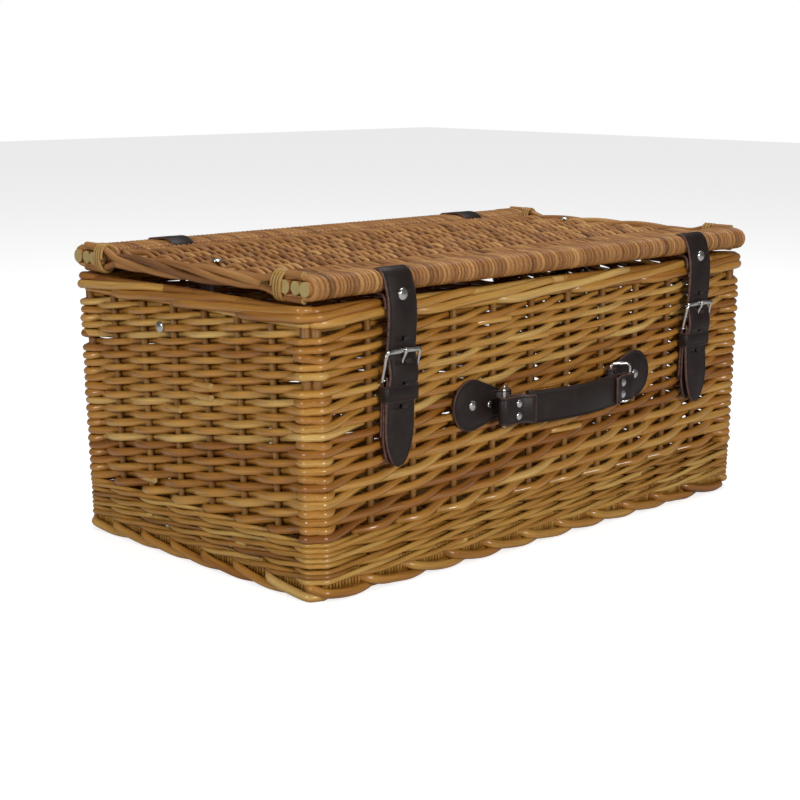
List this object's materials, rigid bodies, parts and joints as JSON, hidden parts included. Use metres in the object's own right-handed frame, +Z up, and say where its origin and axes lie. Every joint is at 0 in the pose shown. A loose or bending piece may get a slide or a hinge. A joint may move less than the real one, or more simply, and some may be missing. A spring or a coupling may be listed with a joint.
{
  "type": "wicker hamper basket",
  "caption": "Rectangular woven willow hamper with a hinged lid, buckled leather closing straps and a leather suitcase-style carrying handle on its front.",
  "frame": {"origin": "on the floor, at the centre of the whole object's box seen from above", "axes": "+X along the hamper's length, +Z up, the front with the handle and buckles faces -Y"},
  "size_m": [0.514, 0.3196, 0.2322],
  "materials": {
    "wall_willow": "glossy honey-brown willow",
    "stake_willow": "glossy willow rods",
    "border_willow": "glossy willow rods",
    "lid_willow": "satin willow",
    "stick_willow": "satin willow sticks",
    "binding_skein": "split willow skein",
    "leather": "near-black brown leather, raw reddish edges",
    "nickel": "polished nickel"
  },
  "bodies": {
    "basket": {"base_weave": "wall_willow", "base_sticks": "stake_willow", "front_weave": "wall_willow", "back_weave": "wall_willow", "left_weave": "wall_willow", "right_weave": "wall_willow", "wall_stakes": "stake_willow", "corner_posts": "stake_willow", "waling": "border_willow", "foot_border": "border_willow", "top_border": "border_willow", "left_handle_patch": "leather", "right_handle_patch": "leather", "handle_patch_rivets": "nickel", "left_buckle_strap": "leather", "right_buckle_strap": "leather", "buckle_strap_rivets": "nickel", "hinge_tabs": "leather", "hinge_tab_rivets": "nickel", "wall_stay_studs": "nickel"},
    "lid": {"lid_weave": "lid_willow", "lid_sticks": "stick_willow", "lid_front_sticks": "stick_willow", "lid_front_wrap": "lid_willow", "lid_back_sticks": "stick_willow", "lid_back_wrap": "lid_willow", "lid_left_border": "lid_willow", "lid_right_border": "lid_willow", "lid_corner_bindings": "binding_skein", "hinge_loops": "leather", "left_strap_loop": "leather", "right_strap_loop": "leather", "strap_loop_rivets": "nickel", "lid_stay_studs": "nickel", "lid_stay_tabs": "leather"},
    "left_strap": {"left_strap_tail": "leather"},
    "right_strap": {"right_strap_tail": "leather"},
    "left_buckle": {"left_buckle_frame": "nickel"},
    "right_buckle": {"right_buckle_frame": "nickel"},
    "left_prong": {"left_prong": "nickel"},
    "right_prong": {"right_prong": "nickel"},
    "left_keeper": {"left_keeper": "leather"},
    "right_keeper": {"right_keeper": "leather"},
    "left_ring": {"left_ring": "nickel"},
    "right_ring": {"right_ring": "nickel"},
    "grip": {"grip_strap": "leather", "grip_cover": "leather", "grip_rivets": "nickel"},
    "left_stay_lower": {"left_stay_lower": "leather"},
    "right_stay_lower": {"right_stay_lower": "leather"},
    "left_stay_upper": {"left_stay_upper": "leather"},
    "right_stay_upper": {"right_stay_upper": "leather"}
  },
  "joints": [
    {"name": "lid_hinge", "type": "hinge", "parent": "basket", "child": "lid", "pos_m": [0, 0.1569, 0.2112], "axis": [-1, 0, 0], "range_deg": [0, 100]},
    {"name": "left_strap_fold", "type": "hinge", "parent": "lid", "child": "left_strap", "pos_m": [-0.173, -0.1371, 0.206], "axis": [-1, 0, 0], "range_deg": [-91, 0], "deforming": ["left_strap_tail"]},
    {"name": "right_strap_fold", "type": "hinge", "parent": "lid", "child": "right_strap", "pos_m": [0.177, -0.1371, 0.206], "axis": [-1, 0, 0], "range_deg": [-91, 0], "deforming": ["right_strap_tail"]},
    {"name": "left_buckle_swing", "type": "hinge", "parent": "basket", "child": "left_buckle", "pos_m": [-0.173, -0.135, 0.1535], "axis": [1, 0, 0], "range_deg": [0, 35]},
    {"name": "left_prong_lift", "type": "hinge", "parent": "left_buckle", "child": "left_prong", "pos_m": [-0.173, -0.135, 0.1535], "axis": [1, 0, 0], "range_deg": [0, 40]},
    {"name": "left_keeper_slide", "type": "slide", "parent": "basket", "child": "left_keeper", "axis": [0, 0, 1], "range_m": [-0.013, 0]},
    {"name": "right_buckle_swing", "type": "hinge", "parent": "basket", "child": "right_buckle", "pos_m": [0.177, -0.135, 0.1535], "axis": [1, 0, 0], "range_deg": [0, 35]},
    {"name": "right_prong_lift", "type": "hinge", "parent": "right_buckle", "child": "right_prong", "pos_m": [0.177, -0.135, 0.1535], "axis": [1, 0, 0], "range_deg": [0, 40]},
    {"name": "right_keeper_slide", "type": "slide", "parent": "basket", "child": "right_keeper", "axis": [0, 0, 1], "range_m": [-0.013, 0]},
    {"name": "grip_pull", "type": "slide", "parent": "basket", "child": "grip", "axis": [0, -1, 0], "range_m": [0, 0.004]},
    {"name": "left_ring_turn", "type": "hinge", "parent": "basket", "child": "left_ring", "pos_m": [-0.062, -0.1364, 0.11975], "axis": [0, 0, 1], "range_deg": [0, 21]},
    {"name": "right_ring_turn", "type": "hinge", "parent": "basket", "child": "right_ring", "pos_m": [0.062, -0.1364, 0.11975], "axis": [0, 0, -1], "range_deg": [0, 21]},
    {"name": "left_stay_swing", "type": "hinge", "parent": "basket", "child": "left_stay_lower", "pos_m": [-0.2355, 0.0376, 0.179], "axis": [1, 0, 0], "range_deg": [0, 162], "deforming": ["left_stay_lower"]},
    {"name": "left_stay_tilt", "type": "hinge", "parent": "lid", "child": "left_stay_upper", "pos_m": [-0.2331, 0.0046, 0.208], "axis": [1, 0, 0], "range_deg": [0, 63], "deforming": ["left_stay_upper"]},
    {"name": "right_stay_swing", "type": "hinge", "parent": "basket", "child": "right_stay_lower", "pos_m": [0.2355, 0.0376, 0.179], "axis": [1, 0, 0], "range_deg": [0, 101], "deforming": ["right_stay_lower"]},
    {"name": "right_stay_tilt", "type": "hinge", "parent": "lid", "child": "right_stay_upper", "pos_m": [0.2331, 0.0546, 0.208], "axis": [1, 0, 0], "range_deg": [0, 38], "deforming": ["right_stay_upper"]}
  ],
  "couplings": [
    {"joint": "left_strap_fold", "follows": "lid_hinge", "ratio": -0.9},
    {"joint": "right_strap_fold", "follows": "lid_hinge", "ratio": -0.9},
    {"joint": "left_ring_turn", "follows": "grip_pull", "rad_per_m": 90.105},
    {"joint": "right_ring_turn", "follows": "grip_pull", "rad_per_m": 90.105},
    {"joint": "left_stay_swing", "follows": "lid_hinge", "ratio": 1.6128},
    {"joint": "left_stay_tilt", "follows": "lid_hinge", "ratio": 0.62654},
    {"joint": "right_stay_swing", "follows": "lid_hinge", "ratio": 1.006},
    {"joint": "right_stay_tilt", "follows": "lid_hinge", "ratio": 0.37589}
  ]
}
